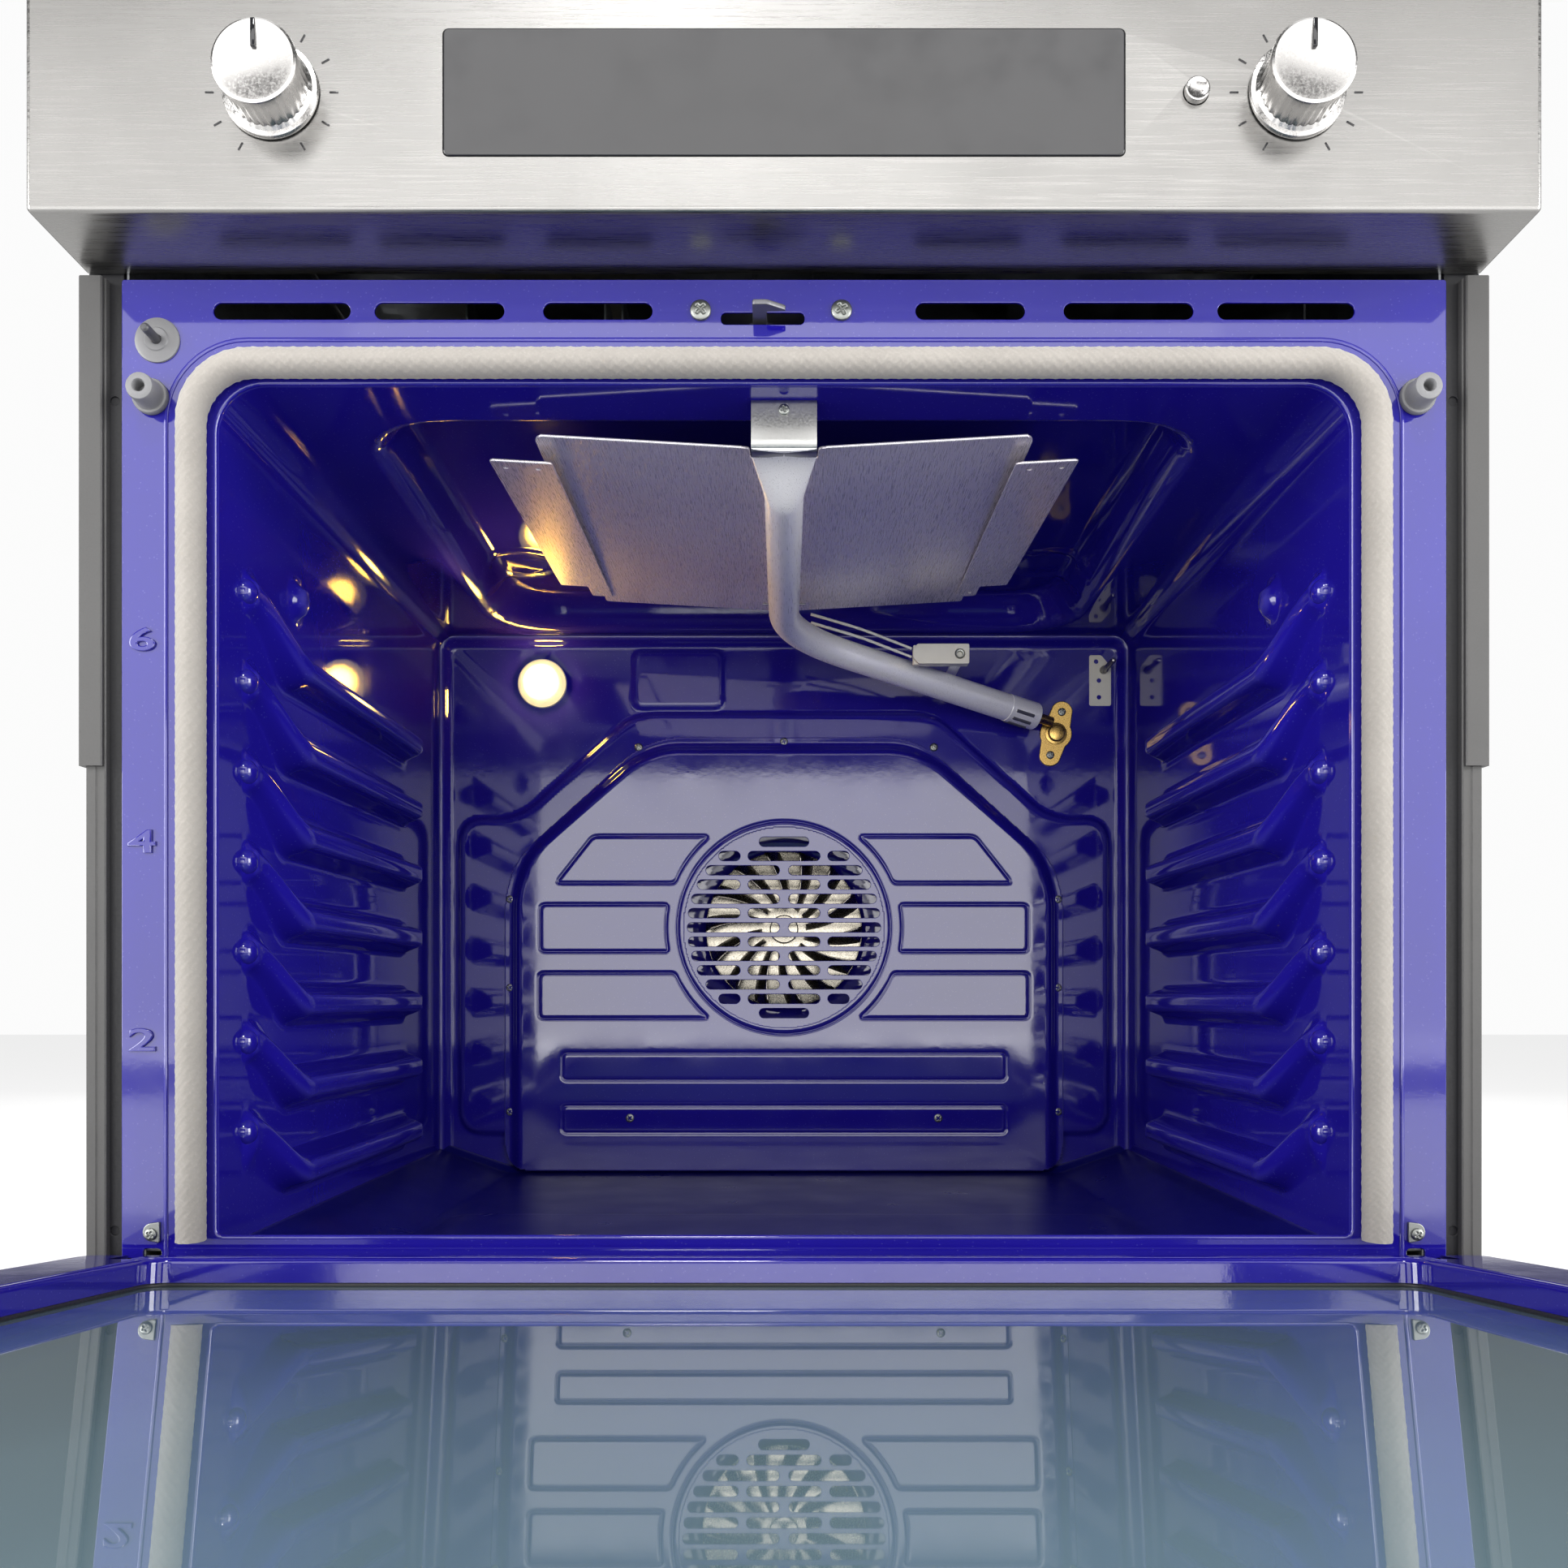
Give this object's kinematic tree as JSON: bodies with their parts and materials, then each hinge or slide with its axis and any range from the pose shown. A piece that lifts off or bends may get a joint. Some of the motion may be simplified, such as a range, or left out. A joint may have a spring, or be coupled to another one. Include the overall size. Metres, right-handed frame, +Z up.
{
  "type": "wall oven",
  "caption": "Built-in gas wall oven with a blue enamel cavity, rear fan, broil burner and a drop-down glass door that rests open.",
  "frame": {"origin": "on the centre line, in the plane of the front frame, at the underside of the base", "axes": "+X to the user's right, +Y into the oven, +Z up"},
  "size_m": [0.758, 1.1824, 0.785],
  "materials": {
    "blue_enamel": "gloss vitreous enamel",
    "galvanised_steel": "galvanised",
    "stainless_steel": "brushed",
    "trim_grey": "satin",
    "flange_black": "satin",
    "zinc_plate": "zinc plated",
    "burner_steel": "aluminised",
    "deflector_steel": "brushed",
    "ceramic": "ceramic",
    "lead_wire": "braided",
    "brass": "cast",
    "lamp_glass": "clear",
    "gasket_fibre": "woven glass fibre",
    "dark_metal": "matte",
    "grey_rubber": "matte",
    "switch_plastic": "moulded",
    "plunger_plastic": "moulded",
    "insulation_wool": "mineral wool",
    "gas_pipe": "drawn",
    "display_black": "gloss",
    "board_green": "solder mask",
    "fan_steel": "pressed",
    "knob_metal": "turned",
    "door_glass": "coated",
    "window_glass": "tinted",
    "pad_grey": "matte"
  },
  "bodies": {
    "oven": {"base_pan": "galvanised_steel", "side_panels": "galvanised_steel", "back_panel": "galvanised_steel", "top_panel": "galvanised_steel", "front_frame": "blue_enamel", "cavity_wall_left": "blue_enamel", "cavity_wall_right": "blue_enamel", "cavity_ceiling": "blue_enamel", "cavity_floor": "blue_enamel", "cavity_back": "blue_enamel", "fan_cover": "blue_enamel", "cover_screws": "zinc_plate", "fan_motor": "dark_metal", "broil_burner": "burner_steel", "burner_bracket": "burner_steel", "broil_deflector": "deflector_steel", "broil_igniter": "ceramic", "igniter_leads": "lead_wire", "broil_orifice": "brass", "lamp_lens": "lamp_glass", "lamp_bulb": "lamp_glass", "lamp_socket": "ceramic", "temperature_sensor": "ceramic", "door_gasket": "gasket_fibre", "latch_motor": "dark_metal", "frame_screws": "zinc_plate", "door_switch": "switch_plastic", "door_bumpers": "grey_rubber", "hinge_receivers": "zinc_plate", "hinge_arms": "zinc_plate", "mounting_flanges": "flange_black", "side_trims": "trim_grey", "trim_caps": "trim_grey", "insulation": "insulation_wool", "bake_burner": "burner_steel", "gas_valve": "dark_metal", "gas_pipes": "gas_pipe", "gas_regulator": "dark_metal", "flue_duct": "galvanised_steel", "blower_housing": "galvanised_steel", "control_fascia": "stainless_steel", "display_glass": "display_black", "control_board": "board_green", "bottom_grille": "stainless_steel", "junction_box": "galvanised_steel"},
    "fan": {"convection_fan": "fan_steel"},
    "blower": {"blower_wheel": "fan_steel"},
    "latch": {"latch_hook": "zinc_plate"},
    "plunger": {"switch_plunger": "plunger_plastic"},
    "mode_dial": {"mode_knob": "knob_metal"},
    "temperature_dial": {"temperature_knob": "knob_metal"},
    "light_key": {"light_button": "knob_metal"},
    "door": {"door_liner": "blue_enamel", "inner_glass": "door_glass", "glass_pads": "pad_grey", "middle_glass": "door_glass", "outer_glass": "window_glass", "door_skin": "stainless_steel", "door_handle": "stainless_steel", "hinge_channels": "zinc_plate"}
  },
  "joints": [
    {"name": "door_hinge", "type": "hinge", "parent": "oven", "child": "door", "pos_m": [0, -0.024, 0.125], "axis": [-1, 0, 0], "range_deg": [0, 84]},
    {"name": "fan_spin", "type": "hinge", "parent": "oven", "child": "fan", "pos_m": [0, 0.5, 0.3385], "axis": [0, 1, 0], "continuous": true},
    {"name": "blower_spin", "type": "hinge", "parent": "oven", "child": "blower", "pos_m": [0.15, 0.47, 0.68], "axis": [0, 0, 1], "continuous": true},
    {"name": "latch_swing", "type": "hinge", "parent": "oven", "child": "latch", "pos_m": [-0.013, 0.03, 0.643], "axis": [0, 0, 1], "range_deg": [0, 18]},
    {"name": "plunger_slide", "type": "slide", "parent": "oven", "child": "plunger", "axis": [0, 1, 0], "range_m": [0, 0.012], "stiffness_N_per_m": 60, "springref_m": -0.01},
    {"name": "mode_turn", "type": "hinge", "parent": "oven", "child": "mode_dial", "pos_m": [-0.255, -0.056, 0.727], "axis": [0, 1, 0], "range_deg": [0, 270]},
    {"name": "temperature_turn", "type": "hinge", "parent": "oven", "child": "temperature_dial", "pos_m": [0.255, -0.056, 0.727], "axis": [0, 1, 0], "range_deg": [0, 280]},
    {"name": "light_press", "type": "slide", "parent": "oven", "child": "light_key", "axis": [0, 1, 0], "range_m": [0, 0.002], "stiffness_N_per_m": 400, "springref_m": -0.002}
  ]
}
